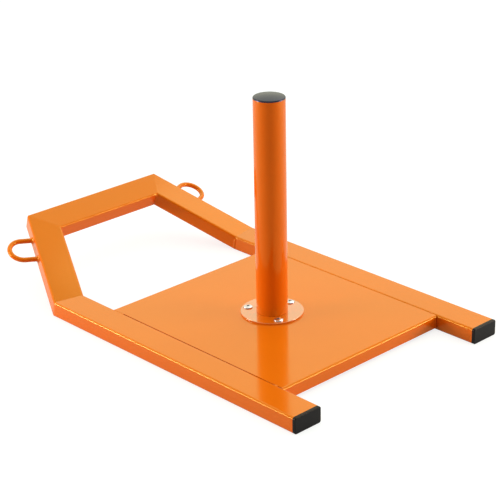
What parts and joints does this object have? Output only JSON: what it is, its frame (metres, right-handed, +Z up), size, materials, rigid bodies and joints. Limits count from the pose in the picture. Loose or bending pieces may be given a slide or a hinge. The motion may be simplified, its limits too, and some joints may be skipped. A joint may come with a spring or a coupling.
{
  "type": "weight sled",
  "caption": "Low steel training sled with mitred tube frame, folded deck, bolted plate post, raised front and side tow eyes.",
  "frame": {"origin": "on the floor, midway along the sled's overall length and midway between the runners", "axes": "+X points to the raised front, along the runners; +Y points to the left runner; +Z is up, along the post"},
  "size_m": [0.6968, 0.425, 0.3683],
  "materials": {
    "powder_coat": "gloss orange powder coat on steel",
    "black_plastic": "satin moulded polyethylene",
    "zinc_steel": "bright zinc plate"
  },
  "bodies": {
    "root": {"left_runner": "powder_coat", "right_runner": "powder_coat", "left_front_tube": "powder_coat", "right_front_tube": "powder_coat", "front_crossbar": "powder_coat", "frame_welds": "powder_coat", "deck_plate": "powder_coat", "deck_welds": "powder_coat", "left_tow_eye": "powder_coat", "right_tow_eye": "powder_coat", "tow_eye_welds": "powder_coat", "left_end_cap": "black_plastic", "right_end_cap": "black_plastic", "post_flange": "powder_coat", "post_tube": "powder_coat", "post_weld": "powder_coat", "post_cap": "black_plastic", "post_screws": "zinc_steel", "post_washers": "zinc_steel", "post_nuts": "zinc_steel"}
  },
  "joints": []
}
